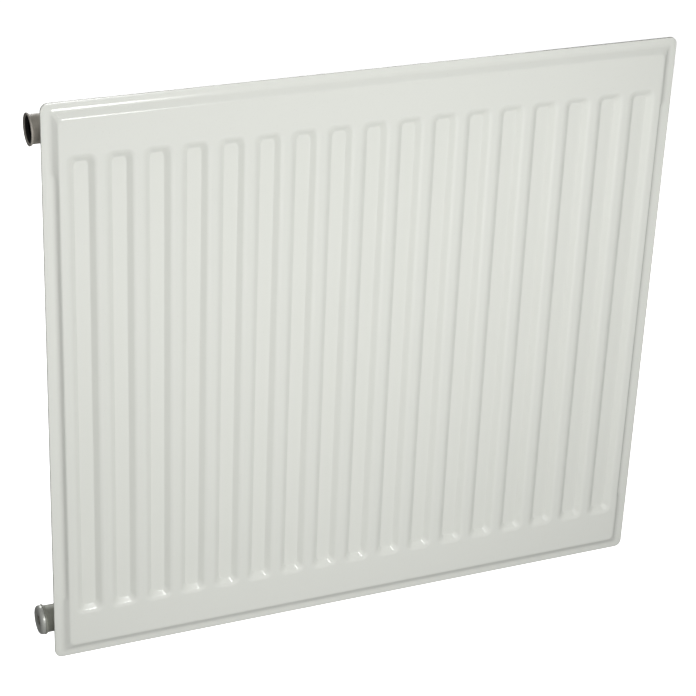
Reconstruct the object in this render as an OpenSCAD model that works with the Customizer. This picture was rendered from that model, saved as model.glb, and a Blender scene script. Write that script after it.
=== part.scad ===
// Single-panel pressed-steel radiator with a convector, four threaded tappings and a vent plug.
// +X runs along the radiator to the right, +Y points to the wall and +Z is up.
// The origin is the middle of the bottom edge, in the plane where the two sheets are welded together.

/* [Panel] */
// Length of the panel, flange to flange
panel_l = 600; // [400:1:1800]
// Height of the panel, flange to flange
panel_h = 550; // [300:1:900]
// Thickness of each pressed sheet
sheet_t = 1.2; // [1:0.05:1.6]
// Outer corner radius of the flange
corner_r = 7; // [3:0.5:9]
// Flat width of the welded flange
rim_w = 7; // [5:0.25:10]
// How far the field stands out from the flange
rise = 4.7; // [3:0.1:6]
// Width of the slope between flange and field
step_run = 6.5; // [4:0.25:9]

/* [Channels] */
// Distance from one groove to the next
channel_pitch = 33.33; // [28:0.01:42]
// Width of a groove at its floor
groove_floor_w = 12.9; // [8:0.1:15]
// Width of each sloping side of a groove
groove_run = 5.5; // [3:0.1:6]
// Length of the sloping end of a groove
groove_end_run = 5.5; // [5:0.5:12]
// Height of the plain header band, from the panel's edge to where the grooves start
header_h = 48.2; // [47:0.1:70]

/* [Convector] */
// Thickness of the convector sheet
fin_t = 0.5; // [0.4:0.05:0.8]
// Depth of the convector, from the rear sheet to its back
fin_depth = 28; // [15:1:32]
// Width of the convector's flat foot on a channel
fin_foot_w = 9; // [6:0.1:9.2]
// Width of the convector's flat back over a groove
fin_back_w = 14; // [10:0.5:18]
// Distance from the panel's top and bottom edges to the convector
fin_inset = 62; // [56:1:90]

/* [Hanging lugs] */
// Thickness of the lug strip
lug_t = 2; // [1.5:0.1:3]
// Height of a lug
lug_h = 32; // [20:1:45]
// Distance from the weld plane to the lug's back face
lug_back = 40; // [39:0.5:55]
// Width of a lug's foot on a channel
lug_foot_w = 9; // [6:0.1:9.2]
// Width of the lug's back face
lug_back_w = 20; // [14:0.5:22]
// Distance from the panel's top or bottom edge to the middle of a lug
lug_inset = 82; // [76:1:110]
// Number of grooves outside each lug
lug_grooves_in = 3; // [2:1:4]

/* [Tappings] */
// Distance from the panel's top or bottom edge to a tapping's axis
tapping_inset = 30; // [27:0.5:32]
// Distance from the weld plane to a tapping's axis
tapping_depth = 21.5; // [21:0.5:24]
// How far a tapping's mouth stands out past the flange
mouth_out = 5.5; // [2:0.5:12]
// Bore radius of the pipe thread, taken at its crests
thread_r = 9.3; // [8:0.05:10]
// Length of the thread
thread_l = 14; // [12:0.5:18]
// Wall of the tapping outside the thread
boss_wall = 3.45; // [2.5:0.05:4]
// How far the mouth flares out from the neck
flare_out = 1.5; // [0.5:0.1:2]
// Length of the flare
flare_l = 2.6; // [1.5:0.1:5]
// Length of the straight lip at the mouth
lip_l = 0.8; // [0.4:0.1:2]
// Wall of the lip around the seal seat
lip_wall = 1.45; // [1:0.05:2]
// Distance from the panel's edge to a port's axis
port_in = 26; // [24:0.5:40]
// Outer radius of the port that joins a tapping to the rear sheet
port_r = 8; // [6:0.25:10]
// Wall of the port
port_wall = 1.8; // [1:0.1:3]
// Width of the port's welding ring outside the port
ring_w = 3; // [1.5:0.25:4]
// Thickness of the welding ring
ring_t = 1.5; // [1:0.1:2]
// Closed length of the tapping beyond the port
boss_end = 3.5; // [2.5:0.25:6]

/* [Vent plug] */
// Radius of the plug's rounded head
head_r = 13.8; // [13.8:0.1:16]
// Thickness of the plug's head
head_t = 4.9; // [3.5:0.1:6]
// Rounding of the head's edge
head_round = 3; // [1:0.1:3.2]
// Radius of the dish in the head
dish_r = 10.2; // [9:0.1:10.5]
// Depth of the dish
dish_t = 1; // [0.5:0.1:1.6]
// Width across the flats of the hexagon socket
socket_af = 10; // [10:0.5:13]
// Depth of the hexagon socket below the dish
socket_t = 5; // [3:0.25:6]
// Length of the plug's threaded shank
plug_l = 12; // [11.5:0.25:14]
// Radial gap between the plug's shank and the tapping
plug_gap = 0.05; // [0.02:0.01:0.1]
// Gap around the plug's seal
seal_gap = 0.03; // [0.01:0.01:0.06]

/* [Vent screw] */
// Radius of the vent screw's shank
screw_r = 3; // [2.5:0.05:3.6]
// Running gap around the vent screw
run_gap = 0.05; // [0.02:0.01:0.1]
// Width across the flats of the screw's square head
square_af = 5; // [4:0.1:6]
// Length of the square head
square_l = 4.4; // [3:0.1:5]
// Gap under the square head when the screw is closed
head_gap = 0.4; // [0.3:0.05:1]
// Length of the screw's bore above its seat
bore_l = 7; // [6.5:0.25:7.5]
// Radius of the hole through the seat
seat_hole_r = 1.2; // [0.8:0.1:1.6]
// Depth of the seal groove around the screw
seal_groove = 0.9; // [0.6:0.05:1.2]
// Width of the seal groove
seal_groove_w = 1.6; // [1.3:0.1:2]
// Distance from the socket's floor to the middle of the seal groove
seal_in = 3; // [2.9:0.1:3.5]
// Radius of the slanting vent hole
vent_hole_r = 0.7; // [0.4:0.1:0.9]
// Metal left between the vent hole and the socket's wall
vent_edge = 0.3; // [0.2:0.05:0.3]

/* [Hidden] */
$fn = 64;
left = -1;
right = 1;
// How far a cutting shape runs past the surface it cuts
past = 1;
// How far two shapes of one solid run into each other
lap = 0.5;

// Channels: as many grooves as the length holds, centred on the panel
groove_n = round(panel_l / channel_pitch) - 1;
groove_last = (groove_n - 1) / 2;
groove_floor = groove_floor_w / 2;
groove_open = groove_floor + groove_run;
back_y = sheet_t + rise;

// Convector: the middle sheet stops a channel short of each lug, and the outer ones start a channel past it
lug_col = groove_last - lug_grooves_in;
lug_x = lug_col * channel_pitch;
fin_middle_n = 2 * lug_col - 3;
fin_side_n = lug_grooves_in - 1;
fin_side_x = (lug_col + 1.5 + fin_side_n / 2) * channel_pitch;
fin_lean = atan((channel_pitch - fin_foot_w - fin_back_w) / 2 / (fin_depth - fin_t));
fin_skew = fin_t * (1 - sin(fin_lean)) / cos(fin_lean);

// Tappings
neck_r = thread_r + boss_wall;
mouth_r = neck_r + flare_out;
seat_r = mouth_r - lip_wall;
seat_l = seat_r - thread_r;
boss_in = port_in + port_r + boss_end;

// Vent plug, measured inwards from the outer face of its head
plug_r = thread_r - plug_gap;
socket_floor = dish_t + socket_t;
screw_seat = socket_floor + bore_l;
screw_bore_r = screw_r + run_gap;
plug_end = head_t + plug_l;
plug_seal_r = (seat_r - plug_r) / (2 + sqrt(2)) - seal_gap;
vent_start_r = socket_af / 2 - vent_hole_r - vent_edge;
vent_end_s = screw_seat - vent_hole_r;
vent_lean = atan((vent_start_r - screw_r) / (vent_end_s - socket_floor));

// Vent screw
screw_neck = socket_floor - head_gap;
tip_r = seat_hole_r - 2 * run_gap;
screw_groove_r = screw_r - seal_groove;
screw_seal_r = (screw_r - screw_groove_r - run_gap) / 2;

// A flat profile in Y and Z, drawn along X from the middle
module along_x(length) {
    rotate([90, 0, 90])
        translate([0, 0, -length / 2])
            linear_extrude(length)
                children();
}

// A round bar along +X from x0 to x1
module bar_x(x0, x1, r0, r1) {
    translate([x0, 0, 0])
        rotate([0, 90, 0])
            cylinder(h = x1 - x0, r1 = r0, r2 = r1);
}

// Flat sheet with rounded corners, lying on the weld plane
module flange_plate() {
    translate([-panel_l / 2, sheet_t, 0])
        rotate([90, 0, 0])
            linear_extrude(sheet_t) {
                translate([corner_r, 0])
                    square([panel_l - 2 * corner_r, panel_h]);
                translate([0, corner_r])
                    square([panel_l, panel_h - 2 * corner_r]);
                for (x = [corner_r, panel_l - corner_r], z = [corner_r, panel_h - corner_r])
                    translate([x, z])
                        circle(corner_r);
            }
}

// Slopes in from a base half-width to a top half-width, with a straight root below
function plateau(base, top, mid) = [
    [mid - base, -past], [mid + base, -past], [mid + base, 0],
    [mid + top, rise], [mid - top, rise], [mid - base, 0]
];

// Slopes out from a floor half-width to an open half-width, cut clear at both ends
function trough(floor, open, mid) = [
    [mid - floor, -2 * past], [mid + floor, -2 * past], [mid + floor, 0], [mid + open, rise],
    [mid + open, rise + past], [mid - open, rise + past], [mid - open, rise], [mid - floor, 0]
];

function turned(points) = [for (p = points) [p[1], p[0]]];

// All grooves, with sloping sides and ends
module grooves() {
    floor_z = panel_h / 2 - header_h - groove_end_run;
    open_z = panel_h / 2 - header_h;
    intersection() {
        linear_extrude(panel_h)
            for (i = [-groove_last:groove_last])
                polygon(trough(groove_floor, groove_open, i * channel_pitch));
        along_x(panel_l)
            polygon(turned(trough(floor_z, open_z, panel_h / 2)));
    }
}

// Raised field with its grooves, standing on the plane y = 0
module field() {
    base_x = panel_l / 2 - rim_w;
    base_z = panel_h / 2 - rim_w;
    difference() {
        intersection() {
            linear_extrude(panel_h)
                polygon(plateau(base_x, base_x - step_run, 0));
            along_x(panel_l)
                polygon(turned(plateau(base_z, base_z - step_run, panel_h / 2)));
        }
        grooves();
    }
}

// One pressed sheet, its flange on the weld plane and its field standing out along +Y
module pressed_sheet() {
    difference() {
        union() {
            flange_plate();
            translate([0, sheet_t, 0])
                field();
        }
        field();
    }
}

// Places its children on a tapping's axis at the panel's edge, with +X pointing out
module at_tapping(side, z) {
    translate([side * panel_l / 2, tapping_depth, z])
        mirror([side == left ? 1 : 0, 0, 0])
            children();
}

module front_sheet() {
    color("white")
        mirror([0, 1, 0])
            pressed_sheet();
}

module rear_sheet() {
    color("white")
        difference() {
            pressed_sheet();
            for (side = [left, right], z = [tapping_inset, panel_h - tapping_inset])
                translate([side * (panel_l / 2 - port_in), 0, z])
                    rotate([-90, 0, 0])
                        cylinder(h = back_y + past, r = port_r + plug_gap);
        }
}

// One side of the convector's outline, which the other side repeats shifted back by one thickness
function fin_line(n, skew, y0) = [
    for (i = [0:n])
        let (x = (i - n / 2) * channel_pitch)
            each [
                if (i > 0) [x - channel_pitch / 2 + fin_back_w / 2 - fin_skew + skew, y0 + fin_depth - fin_t],
                [x - fin_foot_w / 2 + (i > 0 ? skew : 0), y0],
                [x + fin_foot_w / 2 - (i < n ? skew : 0), y0],
                if (i < n) [x + channel_pitch / 2 - fin_back_w / 2 + fin_skew - skew, y0 + fin_depth - fin_t]
            ]
];

function backwards(points) = [for (i = [len(points) - 1:-1:0]) points[i]];

// A corrugated sheet of n folds, welded to the channels of the rear sheet
module convector(n, x) {
    color("whitesmoke")
        translate([x, back_y, fin_inset])
            linear_extrude(panel_h - 2 * fin_inset)
                polygon(concat(fin_line(n, 0, 0), backwards(fin_line(n, fin_skew, fin_t))));
}

module convector_left() {
    convector(fin_side_n, -fin_side_x);
}

module convector_middle() {
    convector(fin_middle_n, 0);
}

module convector_right() {
    convector(fin_side_n, fin_side_x);
}

// A tapping: threaded and flared at its mouth, closed at its inner end, with a port to the rear sheet
module boss(side, z) {
    color("dimgray")
        at_tapping(side, z)
            difference() {
                union() {
                    bar_x(-boss_in, mouth_out - lip_l - flare_l, neck_r, neck_r);
                    bar_x(mouth_out - lip_l - flare_l, mouth_out - lip_l, neck_r, mouth_r);
                    bar_x(mouth_out - lip_l, mouth_out, mouth_r, mouth_r);
                    port_bar(rise, tapping_depth, port_r);
                    port_bar(back_y, back_y + ring_t, port_r + ring_w);
                }
                bar_x(mouth_out - thread_l - seat_l, mouth_out + past, thread_r, thread_r);
                bar_x(mouth_out - seat_l, mouth_out, thread_r, seat_r);
                bar_x(-port_in - port_r, mouth_out, port_r, port_r);
                port_bar(0, tapping_depth, port_r - port_wall);
            }
}

// A round bar along Y on a port's axis, between two distances from the weld plane
module port_bar(y0, y1, r) {
    translate([-port_in, y0 - tapping_depth, 0])
        rotate([-90, 0, 0])
            cylinder(h = y1 - y0, r = r);
}

module boss_top_left() {
    boss(left, panel_h - tapping_inset);
}

module boss_top_right() {
    boss(right, panel_h - tapping_inset);
}

module boss_bottom_left() {
    boss(left, tapping_inset);
}

module boss_bottom_right() {
    boss(right, tapping_inset);
}

// A bent strip that bridges one groove, with both feet welded to the channels beside it
module lug(side, z) {
    foot_in = channel_pitch / 2 - lug_foot_w / 2;
    foot_out = channel_pitch / 2 + lug_foot_w / 2;
    back_out = lug_back_w / 2;
    foot_y = back_y + lug_t;
    inner_y = lug_back - lug_t;
    lean = atan((foot_in - back_out) / (lug_back - back_y));
    skew = lug_t * (1 - sin(lean)) / cos(lean);
    half = [
        [foot_out, back_y], [foot_in, back_y], [back_out - skew, inner_y],
        [back_out, lug_back], [foot_in + skew, foot_y], [foot_out, foot_y]
    ];
    color("white")
        translate([side * lug_x, 0, z - lug_h / 2])
            linear_extrude(lug_h)
                polygon([
                    half[0], half[1], half[2],
                    [-half[2][0], half[2][1]], [-half[1][0], half[1][1]], [-half[0][0], half[0][1]],
                    [-half[5][0], half[5][1]], [-half[4][0], half[4][1]], [-half[3][0], half[3][1]],
                    half[3], half[4], half[5]
                ]);
}

module lug_top_left() {
    lug(left, panel_h - lug_inset);
}

module lug_top_right() {
    lug(right, panel_h - lug_inset);
}

module lug_bottom_left() {
    lug(left, lug_inset);
}

module lug_bottom_right() {
    lug(right, lug_inset);
}

// Places its children on the plug's axis, with +X pointing inwards from the head's outer face
module at_plug() {
    at_tapping(left, tapping_inset)
        translate([mouth_out + head_t, 0, 0])
            mirror([1, 0, 0])
                children();
}

// A ring of round section on the plug's axis
module seal_ring(s, ring_r, section_r) {
    at_plug()
        translate([s, 0, 0])
            rotate([0, 90, 0])
                rotate_extrude()
                    translate([ring_r, 0])
                        circle(section_r);
}

// Half outline of the plug's head, with a rounded outer edge
module head_outline() {
    square([head_r - head_round, head_t]);
    translate([0, head_round])
        square([head_r, head_t - head_round]);
    intersection() {
        translate([head_r - head_round, head_round])
            circle(head_round);
        square([head_r, head_t]);
    }
}

module vent_plug() {
    color("silver")
        at_plug()
            difference() {
                union() {
                    rotate([0, 90, 0])
                        rotate_extrude()
                            head_outline();
                    bar_x(head_t - lap, plug_end, plug_r, plug_r);
                }
                bar_x(0, dish_t, dish_r, dish_r - dish_t);
                rotate([0, 90, 0])
                    cylinder(h = socket_floor, d = socket_af / cos(30), $fn = 6);
                bar_x(socket_floor - past, screw_seat, screw_bore_r, screw_bore_r);
                bar_x(screw_seat, screw_seat + screw_bore_r - seat_hole_r, screw_bore_r, seat_hole_r);
                bar_x(screw_seat, plug_end + past, seat_hole_r, seat_hole_r);
                translate([vent_end_s, 0, screw_r])
                    rotate([0, vent_lean - 90, 0])
                        cylinder(h = vent_end_s - socket_floor + past, r = vent_hole_r);
            }
}

module plug_seal() {
    color("black")
        seal_ring(head_t + seal_gap + plug_seal_r, plug_r + seal_gap + plug_seal_r, plug_seal_r);
}

module screw_seal() {
    color("black")
        seal_ring(socket_floor + seal_in, screw_r - screw_seal_r, screw_seal_r);
}

module vent_screw() {
    groove_s = socket_floor + seal_in - seal_groove_w / 2;
    color("goldenrod")
        at_plug()
            difference() {
                union() {
                    translate([screw_neck - square_l, -square_af / 2, -square_af / 2])
                        cube([square_l, square_af, square_af]);
                    bar_x(screw_neck - lap, screw_seat, screw_r, screw_r);
                    bar_x(screw_seat, screw_seat + screw_r - tip_r, screw_r, tip_r);
                }
                difference() {
                    bar_x(groove_s, groove_s + seal_groove_w, screw_r + past, screw_r + past);
                    bar_x(groove_s - past, groove_s + seal_groove_w + past, screw_groove_r, screw_groove_r);
                }
            }
}

front_sheet();
rear_sheet();
convector_left();
convector_middle();
convector_right();
boss_top_left();
boss_top_right();
boss_bottom_left();
boss_bottom_right();
lug_top_left();
lug_top_right();
lug_bottom_left();
lug_bottom_right();
vent_plug();
plug_seal();
screw_seal();
vent_screw();
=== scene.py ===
import math

import bpy
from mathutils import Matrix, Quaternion, Vector


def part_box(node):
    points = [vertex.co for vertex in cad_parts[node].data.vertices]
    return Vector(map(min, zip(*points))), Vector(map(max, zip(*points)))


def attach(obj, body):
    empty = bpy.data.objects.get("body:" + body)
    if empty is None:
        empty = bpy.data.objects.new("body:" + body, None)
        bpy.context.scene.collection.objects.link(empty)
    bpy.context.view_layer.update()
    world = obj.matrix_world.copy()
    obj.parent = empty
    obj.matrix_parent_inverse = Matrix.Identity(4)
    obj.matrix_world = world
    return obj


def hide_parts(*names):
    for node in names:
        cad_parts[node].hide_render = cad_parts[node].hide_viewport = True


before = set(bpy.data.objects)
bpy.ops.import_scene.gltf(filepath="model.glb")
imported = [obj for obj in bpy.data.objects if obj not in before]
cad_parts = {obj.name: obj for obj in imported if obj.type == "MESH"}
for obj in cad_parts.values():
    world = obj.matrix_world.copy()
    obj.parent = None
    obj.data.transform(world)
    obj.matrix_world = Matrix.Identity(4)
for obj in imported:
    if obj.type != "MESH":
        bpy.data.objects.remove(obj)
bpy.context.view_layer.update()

MM = 0.001
LEFT, RIGHT = -1, 1
X_AXIS = (1, 0, 0)
Y_AXIS = (0, 1, 0)

# ---------------------------------------- sizes, taken from the frame where it has them
SHEET_LOW, SHEET_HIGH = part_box("front_sheet")
PANEL_L = SHEET_HIGH[0] - SHEET_LOW[0]
PANEL_H = SHEET_HIGH[2] - SHEET_LOW[2]
MID_X = (SHEET_HIGH[0] + SHEET_LOW[0]) / 2
MID_Z = (SHEET_HIGH[2] + SHEET_LOW[2]) / 2
BACK_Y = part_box("rear_sheet")[1][1]

# pressed sheets
SHEET_T = 1.2 * MM
FLANGE_Y = -SHEET_T
FIELD_Y = SHEET_LOW[1]
RISE = FLANGE_Y - FIELD_Y
CORNER_R = 7 * MM
RIM_W = 7 * MM
RIM_SIDE_W = 8 * MM
STEP_INSET = 13.5 * MM
STEP_BASE_R = 2 * MM
STEP_TOP_R = 6 * MM
STEEP_ZONE = 62 * MM
STEEP_BLEND = 5 * MM
STEEP_SHIFT = 2.2 * MM
STEP_BASE_BEND = 3.0 * MM
STEP_TOP_BEND = 1.3 * MM
GROOVE_FLOOR_BEND = 0.8 * MM
GROOVE_TOP_BEND = 2.6 * MM
MARGIN = 3.2 * MM
FLOOR_MARGIN = 1.5 * MM
PITCH = 33.33 * MM
GROOVE_N = round(PANEL_L / PITCH) - 1
GROOVE_FLOOR_W = 12.9 * MM
GROOVE_RUN = 5.5 * MM
HEADER_H = 48.2 * MM
GROOVE_CORNER_R = 5.5 * MM
EDGE_ROUND = 0.3 * MM
# rows that the long faces are cut into, so that none is a sliver
CUT_N = 14
CORNER_SEGMENTS = 8
BEND_SEGMENTS = 6
FLOOR_SEGMENTS = 5
EDGE_SEGMENTS = 2

# convector
FIN_T = 0.5 * MM
FIN_FOOT_W = 9 * MM
FIN_BACK_W = 14 * MM
FIN_BEND = 2 * MM
STRIP_SEGMENTS = 4

# hanging lugs
LUG_T = 2 * MM
LUG_FOOT_W = 9 * MM
LUG_BACK_W = 20 * MM
LUG_BEND = 2.5 * MM
LUG_EDGE = 0.3 * MM

# tappings, measured outwards from the panel's edge
TAPPING_INSET = 30 * MM
TAPPING_Y = 21.5 * MM
MOUTH_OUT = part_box("boss_top_right")[1][0] - SHEET_HIGH[0]
BOSS_IN = SHEET_HIGH[0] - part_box("boss_top_right")[0][0]
NECK_R = 12.75 * MM
MOUTH_R = 14.25 * MM
FLARE_L = 2.6 * MM
FLARE_STEPS = 6
LIP_L = 0.8 * MM
LIP_EDGE = 0.25 * MM
NECK_END_R = 1.5 * MM
SEAT_R = 12.8 * MM
# width over which the painted shade inside the bore fades out
BORE_SHADE_EDGE = 1.2 * MM
THREAD_R = 9.3 * MM
THREAD_L = 14 * MM
THREAD_PITCH = 1.814 * MM
THREAD_DEPTH = 1 * MM
# shares of the pitch at which a thread's crest ends, its root starts and its root ends
THREAD_CREST_END = 0.15
THREAD_ROOT_START = 0.5
THREAD_ROOT_END = 0.65
CHAMBER_R = 8 * MM
PORT_IN = 26 * MM
PORT_R = 8 * MM
RING_R = 11 * MM
RING_T = 1.5 * MM
RING_FOOT_EDGE = 0.3 * MM
RING_EDGE = 0.4 * MM
PORT_FILLET = 0.8 * MM
PORT_STEPS = 48

# vent plug and screw, measured inwards from the outer face of the plug's head
PLUG_FACE_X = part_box("vent_plug")[0][0]
HEAD_R = 13.8 * MM
HEAD_T = 4.9 * MM
HEAD_ROUND = 3 * MM
HEAD_ROUND_STEPS = 6
HEAD_EDGE = 0.3 * MM
DISH_R = 10.2 * MM
DISH_T = 1 * MM
DISH_RUN = 2.2 * MM
DISH_EDGE_IN = 0.3 * MM
DISH_EDGE_OUT = 0.2 * MM
SOCKET_AF = 10 * MM
SOCKET_FLOOR = 6 * MM
SCREW_BORE_R = 3.05 * MM
SCREW_SEAT = 13 * MM
SEAT_HOLE_R = 1.2 * MM
PLUG_END = 16.9 * MM
PLUG_R = 9.25 * MM
SHANK_PLAIN = 1 * MM
SHANK_THREAD = 0.8 * MM
SCREW_R = 3 * MM
SCREW_TIP_R = 1.1 * MM
SCREW_HEAD_W = 5 * MM
SCREW_HEAD_L = 4.4 * MM
SCREW_HEAD_EDGE = 0.35 * MM
SCREW_HEAD_SEGMENTS = 3
SCREW_NECK = 5.6 * MM
SEAL_GROOVE_W = 1.6 * MM
SEAL_GROOVE_T = 0.9 * MM
SEAL_AT = SOCKET_FLOOR + 3 * MM

TURN_STEPS = 72
CREASE = math.radians(22)
SMOOTH_UP_TO = math.radians(32)
NEAR = 0.0001


# ---------------------------------------- modelling by operators
def deselect():
    """Back to object mode with nothing selected."""
    if bpy.context.object and bpy.context.object.mode != "OBJECT":
        bpy.ops.object.mode_set(mode="OBJECT")
    bpy.ops.object.select_all(action="DESELECT")


def activate(piece):
    deselect()
    piece.select_set(True)
    bpy.context.view_layer.objects.active = piece


def edit(piece):
    """Edit mode on one piece, with nothing in it selected."""
    activate(piece)
    bpy.ops.object.mode_set(mode="EDIT")
    bpy.ops.mesh.select_all(action="DESELECT")


def name_piece(piece, name):
    piece.name = piece.data.name = name
    return piece


def empty_piece(name):
    """A new piece in edit mode with no mesh in it yet."""
    deselect()
    bpy.ops.mesh.primitive_plane_add(size=MM)
    piece = name_piece(bpy.context.object, name)
    edit(piece)
    bpy.ops.mesh.select_all(action="SELECT")
    bpy.ops.mesh.delete(type="VERT")
    return piece


def mark_edges(piece, flags):
    """Selects the edges that the flags mark."""
    bpy.ops.mesh.select_mode(type="EDGE")
    bpy.ops.mesh.select_all(action="DESELECT")
    bpy.ops.object.mode_set(mode="OBJECT")
    piece.data.edges.foreach_set("select", flags)
    bpy.ops.object.mode_set(mode="EDIT")


def select_edges(piece, wanted, state="any"):
    """Selects the edges whose ends pass the test: any of them, or only open or creased ones."""
    piece.update_from_editmode()
    mesh = piece.data
    beside = {}
    for face in mesh.polygons:
        for key in face.edge_keys:
            beside.setdefault(key, []).append(face.normal)

    def fits(edge):
        normals = beside.get(edge.key, [])
        if state == "open":
            return len(normals) < 2
        if state == "creased":
            return len(normals) == 2 and abs(normals[0].dot(normals[1])) < math.cos(CREASE)
        return True

    ends = [v.co for v in mesh.vertices]
    mark_edges(piece, [fits(e) and wanted(ends[e.vertices[0]], ends[e.vertices[1]]) for e in mesh.edges])


def everywhere(*spots):
    return True


def merge_and_face_out():
    """Merges doubles and turns all faces outwards."""
    bpy.ops.mesh.select_all(action="SELECT")
    bpy.ops.mesh.remove_doubles(threshold=0.00001)
    bpy.ops.mesh.normals_make_consistent(inside=False)


def round_creases(piece, offset, segments, wanted=everywhere):
    """Rounds the creased edges that pass the test."""
    select_edges(piece, wanted, "creased")
    bpy.ops.mesh.bevel(offset=offset, segments=segments, affect="EDGES", clamp_overlap=True)


def modify(piece, kind, **settings):
    """Adds one modifier and applies it."""
    activate(piece)
    modifier = piece.modifiers.new(kind.lower(), kind)
    for key, value in settings.items():
        setattr(modifier, key, value)
    bpy.ops.object.modifier_apply(modifier=modifier.name)


def copy_of(piece, name):
    """A copy with a mesh of its own."""
    twin = piece.copy()
    twin.data = piece.data.copy()
    bpy.context.collection.objects.link(twin)
    return name_piece(twin, name)


def mirrored_copy(piece, name, flip, centre):
    """A copy turned over about a plane, with its faces outwards again."""
    twin = copy_of(piece, name)
    edit(twin)
    bpy.ops.mesh.select_all(action="SELECT")
    bpy.ops.transform.resize(value=flip, center_override=centre)
    bpy.ops.mesh.flip_normals()
    deselect()
    return twin


def raised_copy(piece, name, height):
    twin = copy_of(piece, name)
    edit(twin)
    bpy.ops.mesh.select_all(action="SELECT")
    bpy.ops.transform.translate(value=(0, 0, height))
    deselect()
    return twin


def join(pieces):
    deselect()
    for piece in pieces:
        piece.select_set(True)
    bpy.context.view_layer.objects.active = pieces[0]
    bpy.ops.object.join()
    return pieces[0]


def four_corners(piece, stem, lift):
    """The bottom left piece and its three copies, by the names of their corners."""
    pieces = {"bottom_left": name_piece(piece, stem + "_bottom_left")}
    centre = (MID_X, 0, 0)
    pieces["bottom_right"] = mirrored_copy(piece, stem + "_bottom_right", (-1, 1, 1), centre)
    for side in ("left", "right"):
        pieces["top_" + side] = raised_copy(pieces["bottom_" + side], f"{stem}_top_{side}", lift)
    return pieces


def finish_piece(piece, material, node, body="radiator"):
    """Smooths and dresses one finished piece and puts it on its body."""
    activate(piece)
    bpy.ops.object.shade_smooth_by_angle(angle=SMOOTH_UP_TO)
    piece.data.materials.clear()
    piece.data.materials.append(material)
    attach(piece, body)
    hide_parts(node)


def draw_line(points):
    """In edit mode, draws a line from point to point and leaves it selected."""
    bpy.ops.mesh.select_mode(type="VERT")
    bpy.ops.mesh.primitive_plane_add(size=MM, location=points[0])
    bpy.ops.mesh.merge(type="CENTER")
    for start, end in zip(points, points[1:]):
        step = Vector(end) - Vector(start)
        bpy.ops.mesh.extrude_region_move(TRANSFORM_OT_translate={"value": step})
    bpy.ops.mesh.select_all(action="SELECT")


def turned_piece(name, profile, centre, axis):
    """Turns a profile of (distance along the axis, radius) pairs about an axis through centre."""
    piece = empty_piece(name)
    along = Vector(axis)
    out = Vector((0, 0, 1))
    draw_line([Vector(centre) + along * s + out * r for s, r in profile])
    bpy.ops.mesh.spin(steps=TURN_STEPS, angle=2 * math.pi, center=centre, axis=axis)
    merge_and_face_out()
    deselect()
    return piece


def bent_strip(name, profile, low, high, bend, thickness):
    """A strip bent along a profile of (x, y) points, between two heights."""
    piece = empty_piece(name)
    draw_line([(x, y, low) for x, y in profile])
    bpy.ops.mesh.extrude_region_move(TRANSFORM_OT_translate={"value": (0, 0, high - low)})
    round_creases(piece, bend, STRIP_SEGMENTS)
    bpy.ops.mesh.select_all(action="SELECT")
    bpy.ops.mesh.normals_make_consistent(inside=False)
    piece.update_from_editmode()
    if sum(f.normal.y * f.area for f in piece.data.polygons) < 0:
        bpy.ops.mesh.flip_normals()
    deselect()
    modify(piece, "SOLIDIFY", thickness=thickness, offset=1.0, use_even_offset=True)
    return piece


# ---------------------------------------- pressed sheets
def rounded_face(width, height, radius, x, y, z):
    """In edit mode, adds one flat face with round corners across Y."""
    bpy.ops.mesh.primitive_plane_add(size=1, location=(x, y, z), rotation=(math.pi / 2, 0, 0))
    bpy.ops.transform.resize(value=(width, 1, height), center_override=(x, y, z))
    bpy.ops.mesh.bevel(offset=radius, segments=CORNER_SEGMENTS, affect="VERTICES", clamp_overlap=False)


def press(outer, inner, move, x, y, z):
    """In edit mode, draws the selected face along Y to a new size, with a flat margin at both ends."""
    bpy.ops.mesh.inset(thickness=MARGIN, use_even_offset=True)
    bpy.ops.mesh.extrude_region_move(TRANSFORM_OT_translate={"value": (0, move, 0)})
    scale = [new / (old - 2 * MARGIN) for new, old in zip(inner, outer)]
    bpy.ops.transform.resize(value=(scale[0], 1, scale[1]), center_override=(x, y, z))
    bpy.ops.mesh.inset(thickness=FLOOR_MARGIN, use_even_offset=True)


def raise_step(piece):
    """The step between flange and field, with a flat margin at both ends and tighter corners at its base."""
    base_w = PANEL_L - 2 * RIM_SIDE_W
    base_h = PANEL_H - 2 * RIM_W
    field_w = PANEL_L - 2 * STEP_INSET
    field_h = PANEL_H - 2 * STEP_INSET
    around = 2 * MARGIN
    bpy.ops.mesh.select_all(action="DESELECT")
    rounded_face(base_w + around, base_h + around, STEP_BASE_R + MARGIN, MID_X, FLANGE_Y, MID_Z)
    bpy.ops.mesh.inset(thickness=MARGIN, use_even_offset=True)
    bpy.ops.mesh.delete(type="ONLY_FACE")
    bpy.ops.mesh.select_all(action="DESELECT")
    rounded_face(field_w, field_h, STEP_TOP_R, MID_X, FIELD_Y, MID_Z)
    bpy.ops.mesh.inset(thickness=MARGIN, use_even_offset=True)
    bpy.ops.mesh.delete(type="ONLY_FACE")

    def on_step(p):
        if abs(p.y - FIELD_Y) < NEAR:
            reach = (field_w / 2 - MARGIN + NEAR, field_h / 2 - MARGIN + NEAR)
            return abs(p.x - MID_X) > reach[0] or abs(p.z - MID_Z) > reach[1]
        return abs(p.x - MID_X) < base_w / 2 + NEAR and abs(p.z - MID_Z) < base_h / 2 + NEAR

    select_edges(piece, lambda a, b: on_step(a) and on_step(b), "open")
    bpy.ops.mesh.bridge_edge_loops()


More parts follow.
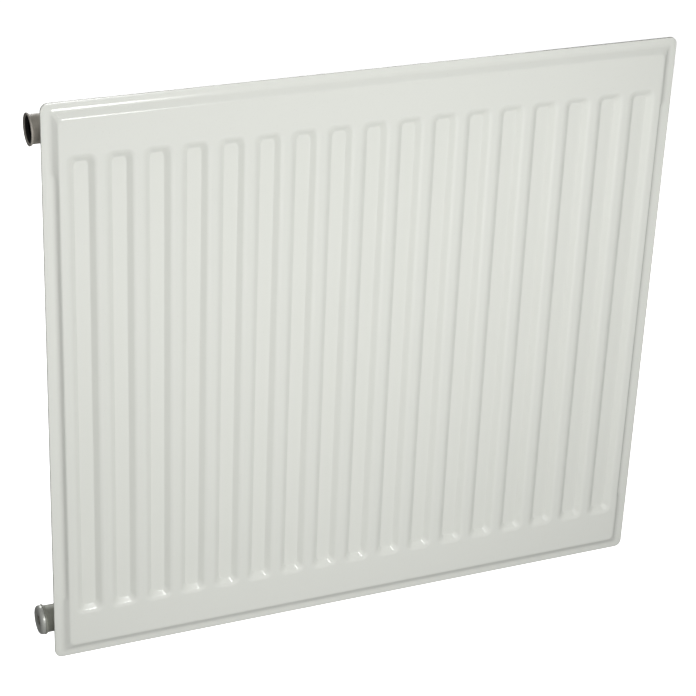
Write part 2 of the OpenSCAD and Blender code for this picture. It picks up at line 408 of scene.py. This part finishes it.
def steepen_sides(piece):
    """Narrows the step beside the grooves by moving its base in."""
    bpy.ops.mesh.select_mode(type="VERT")
    for upwards in (-1, 1):
        for reach in (STEEP_ZONE, STEEP_ZONE + STEEP_BLEND):
            bpy.ops.mesh.select_all(action="SELECT")
            cut_z = MID_Z + upwards * (PANEL_H / 2 - reach)
            bpy.ops.mesh.bisect(plane_co=(MID_X, 0, cut_z), plane_no=(0, 0, 1))
    steep = PANEL_H / 2 - STEEP_ZONE - STEEP_BLEND + NEAR
    base_x = PANEL_L / 2 - RIM_SIDE_W

    def on_base(p, side):
        off = (abs(p.x - MID_X - side * base_x), abs(p.y - FLANGE_Y))
        return max(off) < NEAR and abs(p.z - MID_Z) < steep

    for side in (LEFT, RIGHT):
        select_edges(piece, lambda a, b: on_base(a, side) and on_base(b, side))
        bpy.ops.transform.translate(value=(-side * STEEP_SHIFT, 0, 0))
        bpy.ops.mesh.select_all(action="DESELECT")


def pressed_skin():
    """The outer skin of the front sheet: flange, step, field and grooves."""
    skin = empty_piece("front_pressing")
    rounded_face(PANEL_L, PANEL_H, CORNER_R, MID_X, FLANGE_Y, MID_Z)
    bpy.ops.mesh.delete(type="ONLY_FACE")
    raise_step(skin)
    steepen_sides(skin)

    open_w = GROOVE_FLOOR_W + 2 * GROOVE_RUN
    open_h = PANEL_H - 2 * HEADER_H
    mouth = (open_w + 2 * MARGIN, open_h + 2 * MARGIN)
    floor = (GROOVE_FLOOR_W, open_h - 2 * GROOVE_RUN)
    for i in range(GROOVE_N):
        x = MID_X + (i - (GROOVE_N - 1) / 2) * PITCH
        bpy.ops.mesh.select_all(action="DESELECT")
        rounded_face(*mouth, GROOVE_CORNER_R + MARGIN, x, FIELD_Y, MID_Z)
        press(mouth, floor, RISE, x, FIELD_Y, MID_Z)

    def in_field(p):
        reach = STEP_INSET + MARGIN
        return abs(p.x - MID_X) < PANEL_L / 2 - reach and abs(p.z - MID_Z) < PANEL_H / 2 - reach

    def crease_at(level, inside):
        return lambda a, b: all(abs(p.y - level) < NEAR and in_field(p) == inside for p in (a, b))

    round_creases(skin, STEP_BASE_BEND, BEND_SEGMENTS, crease_at(FLANGE_Y, False))
    round_creases(skin, STEP_TOP_BEND, BEND_SEGMENTS, crease_at(FIELD_Y, False))
    round_creases(skin, GROOVE_FLOOR_BEND, FLOOR_SEGMENTS, crease_at(FLANGE_Y, True))
    round_creases(skin, GROOVE_TOP_BEND, BEND_SEGMENTS, crease_at(FIELD_Y, True))
    for level in (FLANGE_Y, FIELD_Y):
        select_edges(skin, lambda a, b: abs(a.y - level) < NEAR and abs(b.y - level) < NEAR, "open")
        bpy.ops.mesh.fill(use_beauty=True)
    for i in range(1, CUT_N):
        bpy.ops.mesh.select_all(action="SELECT")
        bpy.ops.mesh.bisect(plane_co=(MID_X, 0, PANEL_H * i / CUT_N), plane_no=(0, 0, 1))
    merge_and_face_out()
    skin.update_from_editmode()
    if sum(f.normal.y * f.area for f in skin.data.polygons) > 0:
        bpy.ops.mesh.flip_normals()
    deselect()
    return skin


def thicken(sheet):
    """Gives a skin the sheet's thickness and breaks its cut edge."""
    modify(sheet, "SOLIDIFY", thickness=SHEET_T, offset=-1.0, use_even_offset=True)
    edit(sheet)

    def at_rim(p):
        dx = max(abs(p.x - MID_X) - PANEL_L / 2 + CORNER_R, 0)
        dz = max(abs(p.z - MID_Z) - PANEL_H / 2 + CORNER_R, 0)
        return math.hypot(dx, dz) > CORNER_R - NEAR

    select_edges(sheet, lambda a, b: at_rim(a) and at_rim(b) and abs(a.y - b.y) < NEAR)
    bpy.ops.mesh.bevel(offset=EDGE_ROUND, segments=EDGE_SEGMENTS, affect="EDGES", clamp_overlap=False)
    deselect()


def cut_ports(sheet):
    """Cuts the four holes that the tappings' ports pass through."""
    for side in (LEFT, RIGHT):
        for z in (TAPPING_INSET, PANEL_H - TAPPING_INSET):
            deselect()
            x = MID_X + side * (PANEL_L / 2 - PORT_IN)
            turn = (math.pi / 2, 0, 0)
            bpy.ops.mesh.primitive_cylinder_add(
                vertices=PORT_STEPS, radius=PORT_R, depth=4 * SHEET_T, location=(x, BACK_Y, z), rotation=turn
            )
            cutter = bpy.context.object
            modify(sheet, "BOOLEAN", object=cutter, operation="DIFFERENCE", solver="EXACT")
            bpy.data.objects.remove(cutter)


# ---------------------------------------- convector and lugs
def convector_piece(name, node):
    """One folded convector sheet between the first and last foot of its node."""
    low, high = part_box(node)
    folds = round((high[0] - low[0] - FIN_FOOT_W) / PITCH)
    crest = high[1] - FIN_T
    profile = [(low[0], low[1])]
    for i in range(folds):
        foot_end = low[0] + i * PITCH + FIN_FOOT_W
        lean = (PITCH - FIN_FOOT_W - FIN_BACK_W) / 2
        profile += [
            (foot_end, low[1]),
            (foot_end + lean, crest),
            (foot_end + lean + FIN_BACK_W, crest),
            (foot_end + 2 * lean + FIN_BACK_W, low[1]),
        ]
    profile.append((high[0], low[1]))
    return bent_strip(name, profile, low[2], high[2], FIN_BEND, FIN_T)


def lug_piece():
    """The bottom left hanging lug, with its corners and cut edges broken."""
    low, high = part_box("lug_bottom_left")
    mid = (low[0] + high[0]) / 2
    back = high[1] - LUG_T
    profile = [
        (low[0], low[1]),
        (low[0] + LUG_FOOT_W, low[1]),
        (mid - LUG_BACK_W / 2 + LUG_T / 2, back),
        (mid + LUG_BACK_W / 2 - LUG_T / 2, back),
        (high[0] - LUG_FOOT_W, low[1]),
        (high[0], low[1]),
    ]
    lug = bent_strip("lug", profile, low[2], high[2], LUG_BEND, LUG_T)
    edit(lug)
    round_creases(lug, LUG_EDGE, EDGE_SEGMENTS)
    deselect()
    return lug


# ---------------------------------------- tappings, plug and screw
def thread_profile(start, length, crest_r, root_r):
    """The rings of a pipe thread, from start inwards for a length that may be negative."""
    turns = int(abs(length) / THREAD_PITCH)
    step = math.copysign(THREAD_PITCH, length)
    points = []
    for i in range(turns):
        at = start + i * step
        points += [(at, crest_r), (at + THREAD_CREST_END * step, crest_r)]
        points += [(at + THREAD_ROOT_START * step, root_r), (at + THREAD_ROOT_END * step, root_r)]
    return points


def tapping_piece():
    """The bottom left tapping: a turned socket and the port that joins it to the rear sheet."""
    flare_start = MOUTH_OUT - LIP_L - FLARE_L
    flare = []
    for t in range(FLARE_STEPS + 1):
        rise = (1 - math.cos(math.pi * t / FLARE_STEPS)) / 2
        flare.append((flare_start + FLARE_L * t / FLARE_STEPS, NECK_R + (MOUTH_R - NECK_R) * rise))
    thread_top = MOUTH_OUT - (SEAT_R - THREAD_R)
    profile = [
        (-BOSS_IN, 0),
        (-BOSS_IN, NECK_R - NECK_END_R),
        (-BOSS_IN + NECK_END_R / 3, NECK_R - NECK_END_R / 3),
        (-BOSS_IN + NECK_END_R, NECK_R),
        *flare,
        (MOUTH_OUT - LIP_EDGE, MOUTH_R),
        (MOUTH_OUT, MOUTH_R - LIP_EDGE),
        (MOUTH_OUT, SEAT_R + LIP_EDGE),
        (MOUTH_OUT - LIP_EDGE, SEAT_R),
    ]
    profile += thread_profile(thread_top, -THREAD_L, THREAD_R, THREAD_R + THREAD_DEPTH)
    profile += [(thread_top - THREAD_L, THREAD_R), (thread_top - THREAD_L, CHAMBER_R)]
    profile += [(-PORT_IN - PORT_R, CHAMBER_R), (-PORT_IN - PORT_R, 0)]
    edge_x = MID_X - PANEL_L / 2
    socket = turned_piece("tapping", profile, (edge_x, TAPPING_Y, TAPPING_INSET), (-1, 0, 0))

    port = [
        (BACK_Y, 0),
        (BACK_Y, RING_R - RING_FOOT_EDGE),
        (BACK_Y + RING_FOOT_EDGE, RING_R),
        (BACK_Y + RING_T - RING_EDGE, RING_R),
        (BACK_Y + RING_T, RING_R - RING_EDGE),
        (BACK_Y + RING_T, PORT_R + PORT_FILLET),
        (BACK_Y + RING_T + PORT_FILLET, PORT_R),
        (TAPPING_Y, PORT_R),
        (TAPPING_Y, 0),
    ]
    neck = turned_piece("port", port, (edge_x + PORT_IN, 0, TAPPING_INSET), Y_AXIS)
    return join([socket, neck])


def plug_piece():
    """The vent plug: a round-edged dished head with a hexagon socket, and a bored threaded shank."""
    shoulder = []
    for t in range(HEAD_ROUND_STEPS, -1, -1):
        turn = math.pi / 2 * t / HEAD_ROUND_STEPS
        along = HEAD_ROUND * (1 - math.sin(turn))
        shoulder.append((along, HEAD_R - HEAD_ROUND * (1 - math.cos(turn))))
    profile = [
        (SCREW_SEAT, SCREW_BORE_R),
        (DISH_T, SCREW_BORE_R),
        (DISH_T, DISH_R - DISH_RUN),
        (0.75 * DISH_T, DISH_R - DISH_RUN / 2),
        (0.2 * DISH_T, DISH_R - DISH_EDGE_IN),
        (0, DISH_R + DISH_EDGE_OUT),
        *shoulder,
        (HEAD_T - HEAD_EDGE, HEAD_R),
        (HEAD_T, HEAD_R - HEAD_EDGE),
        (HEAD_T, PLUG_R),
    ]
    shank_l = PLUG_END - HEAD_T - 2 * SHANK_PLAIN
    profile += thread_profile(HEAD_T + SHANK_PLAIN, shank_l, PLUG_R, PLUG_R - SHANK_THREAD)
    profile += [(PLUG_END - SHANK_THREAD, PLUG_R), (PLUG_END, PLUG_R - SHANK_THREAD), (PLUG_END, SEAT_HOLE_R)]
    profile += [(SCREW_SEAT + SCREW_BORE_R - SEAT_HOLE_R, SEAT_HOLE_R), (SCREW_SEAT, SCREW_BORE_R)]
    plug = turned_piece("plug_body", profile, (PLUG_FACE_X, TAPPING_Y, TAPPING_INSET), X_AXIS)

    deselect()
    bpy.ops.mesh.primitive_cylinder_add(
        vertices=6, radius=SOCKET_AF / 2 / math.cos(math.pi / 6), depth=2 * SOCKET_FLOOR,
        location=(PLUG_FACE_X, TAPPING_Y, TAPPING_INSET), rotation=(0, math.pi / 2, 0)
    )
    cutter = bpy.context.object
    modify(plug, "BOOLEAN", object=cutter, operation="DIFFERENCE", solver="EXACT")
    bpy.data.objects.remove(cutter)
    return plug


def screw_piece():
    """The vent screw: a square head on a shank with a seal groove and a conical tip."""
    x0 = PLUG_FACE_X
    groove = SEAL_AT - SEAL_GROOVE_W / 2
    profile = [
        (SCREW_NECK, 0), (SCREW_NECK, SCREW_R), (groove, SCREW_R), (groove, SCREW_R - SEAL_GROOVE_T),
        (groove + SEAL_GROOVE_W, SCREW_R - SEAL_GROOVE_T), (groove + SEAL_GROOVE_W, SCREW_R),
        (SCREW_SEAT, SCREW_R), (SCREW_SEAT + SCREW_R - SCREW_TIP_R, SCREW_TIP_R),
        (SCREW_SEAT + SCREW_R - SCREW_TIP_R, 0),
    ]
    shank = turned_piece("bleed_screw", profile, (x0, TAPPING_Y, TAPPING_INSET), X_AXIS)
    deselect()
    middle = (x0 + SCREW_NECK - SCREW_HEAD_L / 2, TAPPING_Y, TAPPING_INSET)
    bpy.ops.mesh.primitive_cube_add(size=1, location=middle)
    head = bpy.context.object
    edit(head)
    bpy.ops.mesh.select_all(action="SELECT")
    bpy.ops.transform.resize(value=(SCREW_HEAD_L, SCREW_HEAD_W, SCREW_HEAD_W), center_override=middle)
    round_creases(head, SCREW_HEAD_EDGE, SCREW_HEAD_SEGMENTS)
    return join([shank, head])


# ---------------------------------------- materials
class Value:
    """A shader value that can be used in arithmetic."""

    def __init__(self, look, socket):
        self.look = look
        self.socket = socket

    def maths(self, operation, first, second):
        return self.look.node("ShaderNodeMath", {"operation": operation}, {0: first, 1: second})

    def __add__(self, other):
        return self.maths("ADD", self, other)

    def __sub__(self, other):
        return self.maths("SUBTRACT", self, other)

    def __rsub__(self, other):
        return self.maths("SUBTRACT", other, self)

    def __mul__(self, other):
        return self.maths("MULTIPLY", self, other)

    def __pow__(self, other):
        return self.maths("POWER", self, other)

    __radd__ = __add__
    __rmul__ = __mul__


class Look:
    """One procedural material, read from Object coordinates."""

    def __init__(self, name):
        self.material = bpy.data.materials.new(name)
        self.material.use_nodes = True
        self.tree = self.material.node_tree
        self.shader = self.tree.nodes["Principled BSDF"]
        self.place = self.node("ShaderNodeTexCoord", out="Object")

    def node(self, kind, settings=None, inputs=None, out=0):
        """Adds a node from its type, settings and socket values or links."""
        made = self.tree.nodes.new(kind)
        for key, setting in (settings or {}).items():
            setattr(made, key, setting)
        for key, given in (inputs or {}).items():
            self.feed(made.inputs[key], given)
        return Value(self, made.outputs[out])

    def feed(self, socket, given):
        if isinstance(given, Value):
            self.tree.links.new(given.socket, socket)
        else:
            socket.default_value = given

    def set(self, **sockets):
        """Sets or links the shader's own sockets, named with _ for a space."""
        for key, given in sockets.items():
            self.feed(self.shader.inputs[key.replace("_", " ")], given)

    def noise(self, scale, detail=2.0, roughness=0.5, stretch=(1, 1, 1)):
        place = self.place
        if stretch != (1, 1, 1):
            place = self.node("ShaderNodeMapping", {}, {"Vector": place, "Scale": stretch})
        inputs = {"Vector": place, "Scale": scale, "Detail": detail, "Roughness": roughness}
        return self.node("ShaderNodeTexNoise", {}, inputs)

    def ramp(self, value, low, high):
        """0 below low and 1 above high."""
        inputs = {"Value": value, "From Min": low, "From Max": high}
        return self.node("ShaderNodeMapRange", {"clamp": True}, inputs)

    def mix(self, factor, a, b):
        """Mixes two colours."""
        settings = {"data_type": "RGBA"}
        return self.node("ShaderNodeMix", settings, {"Factor": factor, 6: a, 7: b}, out=2)

    def bump(self, height, strength, distance):
        inputs = {"Height": height, "Strength": strength, "Distance": distance}
        return self.node("ShaderNodeBump", {}, inputs)

    def part(self, axis):
        return self.node("ShaderNodeSeparateXYZ", {}, {0: self.place}, out=axis)

    def radius_from(self, y, z):
        """Distance from a line along X."""
        across = self.part("Y") - y
        up = self.part("Z") - z
        return (across * across + up * up) ** 0.5


def rgb(r, g, b):
    return (r, g, b, 1.0)


def white_enamel():
    """Gloss white stove enamel with a faint orange peel and a slight unevenness in the sheet."""
    look = Look("white_enamel")
    drift = look.noise(3.0, 2.0)
    peel = look.noise(420.0, 2.0)
    sheet_wave = look.noise(11.0, 1.0)
    pores = look.ramp(look.noise(900.0, 1.0), 0.70, 0.80)
    tone = look.mix(drift, rgb(0.70, 0.715, 0.665), rgb(0.725, 0.735, 0.69))
    look.set(
        Base_Color=look.mix(pores * 0.35, tone, rgb(0.5, 0.5, 0.46)),
        Roughness=0.165 + peel * 0.05 + pores * 0.1,
        Normal=look.bump(sheet_wave * 1.0 + peel * 0.012, 0.1, 0.004),
    )
    return look.material


def bare_steel(z, deep, pale):
    """Bare turned steel streaked in two tones, with painted shade inside the bore on the axis at height z:
    the bore is painted near black.
    """
    look = Look("bare_steel")
    stain = look.noise(90.0, 4.0, 0.6)
    streak = look.noise(16.0, 3.0, 0.6, (90, 1, 1))
    grit = look.noise(1500.0, 2.0)
    across = look.part("X") - MID_X
    mouth = PANEL_L / 2 + MOUTH_OUT
    on_face = look.ramp((across * across) ** 0.5, mouth - 0.5 * BORE_SHADE_EDGE, mouth - 0.1 * BORE_SHADE_EDGE)
    radius = look.radius_from(TAPPING_Y, z) - on_face * BORE_SHADE_EDGE
    outside = look.ramp(radius, NECK_R - BORE_SHADE_EDGE, NECK_R - 0.3 * BORE_SHADE_EDGE)
    skin = look.mix(stain * 0.6 + streak * 0.4, deep, pale)
    # painted shade: inside the bore and on the inner edge of the mouth the colour goes to near black
    look.set(
        Base_Color=look.mix(outside, rgb(0.006, 0.006, 0.005), skin),
        Metallic=outside * 0.12,
        Roughness=0.62 - outside * 0.2 + stain * 0.15,
        Specular_IOR_Level=0.25,
        Normal=look.bump(streak * 0.6 + grit * 0.15 + stain * 0.4, 0.35, 0.0004),
    )
    return look.material


def nickel_plate():
    """Dull nickel plate with a haze of fine scratches."""
    look = Look("nickel_plate")
    haze = look.noise(120.0, 4.0, 0.6)
    rub = look.noise(40.0, 3.0, 0.6, (1, 1, 12))
    fine = look.noise(1200.0, 2.0)
    tone = look.mix(haze, rgb(0.37, 0.38, 0.35), rgb(0.57, 0.58, 0.54))
    look.set(
        Base_Color=tone,
        Metallic=0.4,
        Roughness=0.28 + rub * 0.2,
        Normal=look.bump(fine * 0.3 + rub * 0.3, 0.2, 0.0003),
    )
    return look.material


def screw_brass():
    """Tarnished plated brass."""
    look = Look("screw_brass")
    haze = look.noise(400.0, 3.0)
    tone = look.mix(haze, rgb(0.26, 0.24, 0.19), rgb(0.42, 0.39, 0.31))
    look.set(Base_Color=tone, Metallic=0.9, Roughness=0.3 + haze * 0.25)
    look.set(Normal=look.bump(haze, 0.2, 0.0002))
    return look.material


def seal_rubber():
    look = Look("seal_rubber")
    dust = look.noise(900.0, 3.0)
    tone = look.mix(dust, rgb(0.012, 0.012, 0.012), rgb(0.035, 0.034, 0.032))
    look.set(Base_Color=tone, Roughness=0.5 + dust * 0.2, Normal=look.bump(dust, 0.3, 0.0002))
    return look.material


def pale_floor():
    look = Look("pale_floor")
    cloud = look.noise(1.5, 2.0)
    look.set(Base_Color=look.mix(cloud, rgb(0.92, 0.92, 0.92), rgb(0.95, 0.95, 0.95)), Roughness=0.8)
    look.set(Emission_Color=rgb(1, 1, 1), Emission_Strength=FLOOR_GLOW)
    return look.material


# ---------------------------------------- camera, light and floor
CAMERA_PLACE = Vector((-0.7266, -1.6294, 1.1924))
CAMERA_TARGET = Vector((-0.0154, 0.0, 0.2793))
CAMERA_ROLL = math.radians(2.466)
CAMERA_LENS = 112.1
FLOOR_Z = -0.15
FLOOR_SIZE = 12
FLOOR_GLOW = 0.9
AMBIENT = 0.19
# each lamp's place, its width and height, its power, and whether it lights surfaces and shows in reflections
LAMPS = {
    "key": ((0.05, -1.0, 0.6), (0.26, 0.24), 6.3, (True, False)),
    "glint": ((-0.07, -1.0, 0.65), (0.24, 0.2), 4.0, (False, True)),
    "fill": ((-0.28, -1.2, -0.05), (1.0, 0.5), 7.3, (True, False)),
    "top": ((-0.7, -0.1, 1.5), (0.8, 0.6), 4.2, (True, False)),
    "back": ((0.3, 1.5, 0.8), (1.2, 0.9), 15.0, (True, True)),
}


def make_camera():
    camera = bpy.data.objects.new("camera", bpy.data.cameras.new("camera"))
    bpy.context.collection.objects.link(camera)
    aim = (CAMERA_TARGET - CAMERA_PLACE).to_track_quat("-Z", "Y")
    roll = Quaternion(aim @ Vector((0, 0, 1)), CAMERA_ROLL)
    camera.rotation_mode = "QUATERNION"
    camera.rotation_quaternion = roll @ aim
    camera.location = CAMERA_PLACE
    camera.data.lens = CAMERA_LENS
    camera.data.sensor_width = 36
    camera.data.clip_start = 0.05
    bpy.context.scene.camera = camera


def soft_light(name, place, size, power, shows):
    """A rectangular lamp that looks at the middle of the panel."""
    data = bpy.data.lights.new(name, "AREA")
    data.shape = "RECTANGLE"
    data.size, data.size_y = size
    data.energy = power
    lamp = bpy.data.objects.new(name, data)
    lamp.location = place
    aim = Vector((MID_X, 0, MID_Z)) - Vector(place)
    lamp.rotation_euler = aim.to_track_quat("-Z", "Y").to_euler()
    lamp.visible_diffuse, lamp.visible_glossy = shows
    bpy.context.collection.objects.link(lamp)


def make_studio():
    world = bpy.data.worlds.new("studio")
    world.use_nodes = True
    background = world.node_tree.nodes["Background"].inputs
    background["Color"].default_value = rgb(1, 1, 1)
    background["Strength"].default_value = AMBIENT
    bpy.context.scene.world = world
    bpy.context.scene.view_settings.view_transform = "Standard"
    for name, settings in LAMPS.items():
        soft_light(name, *settings)
    deselect()
    bpy.ops.mesh.primitive_plane_add(size=FLOOR_SIZE)
    floor = name_piece(bpy.context.object, "floor")
    edit(floor)
    bpy.ops.mesh.select_all(action="SELECT")
    bpy.ops.transform.translate(value=(0, 0, FLOOR_Z))
    deselect()
    floor.data.materials.append(pale_floor())
    floor.visible_diffuse = False
    floor.visible_glossy = False


# ---------------------------------------- the radiator
def make_radiator():
    enamel = white_enamel()
    front = pressed_skin()
    rear = mirrored_copy(front, "rear_pressing", (1, -1, 1), (0, 0, 0))
    thicken(front)
    thicken(rear)
    cut_ports(rear)
    finish_piece(front, enamel, "front_sheet")
    finish_piece(rear, enamel, "rear_sheet")
    for part in ("left", "middle", "right"):
        node = "convector_" + part
        finish_piece(convector_piece("folded_" + node, node), enamel, node)
    lift = PANEL_H - 2 * TAPPING_INSET
    lug_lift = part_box("lug_top_left")[0][2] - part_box("lug_bottom_left")[0][2]
    for corner, lug in four_corners(lug_piece(), "hanging_lug", lug_lift).items():
        finish_piece(lug, enamel, "lug_" + corner)
    # painted shade: the bottom tappings' steel is darker than the top tappings', on copies of one part
    steel = {
        "bottom": bare_steel(TAPPING_INSET, rgb(0.19, 0.195, 0.165), rgb(0.38, 0.385, 0.34)),
        "top": bare_steel(PANEL_H - TAPPING_INSET, rgb(0.25, 0.23, 0.195), rgb(0.49, 0.46, 0.41)),
    }
    for corner, tapping in four_corners(tapping_piece(), "tapping", lift).items():
        finish_piece(tapping, steel[corner.split("_")[0]], "boss_" + corner)
    finish_piece(plug_piece(), nickel_plate(), "vent_plug")
    finish_piece(screw_piece(), screw_brass(), "vent_screw", "screw_turn")
    rubber = seal_rubber()
    for node in ("plug_seal", "screw_seal"):
        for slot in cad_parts[node].material_slots:
            slot.material = rubber


make_camera()
make_studio()
make_radiator()
deselect()
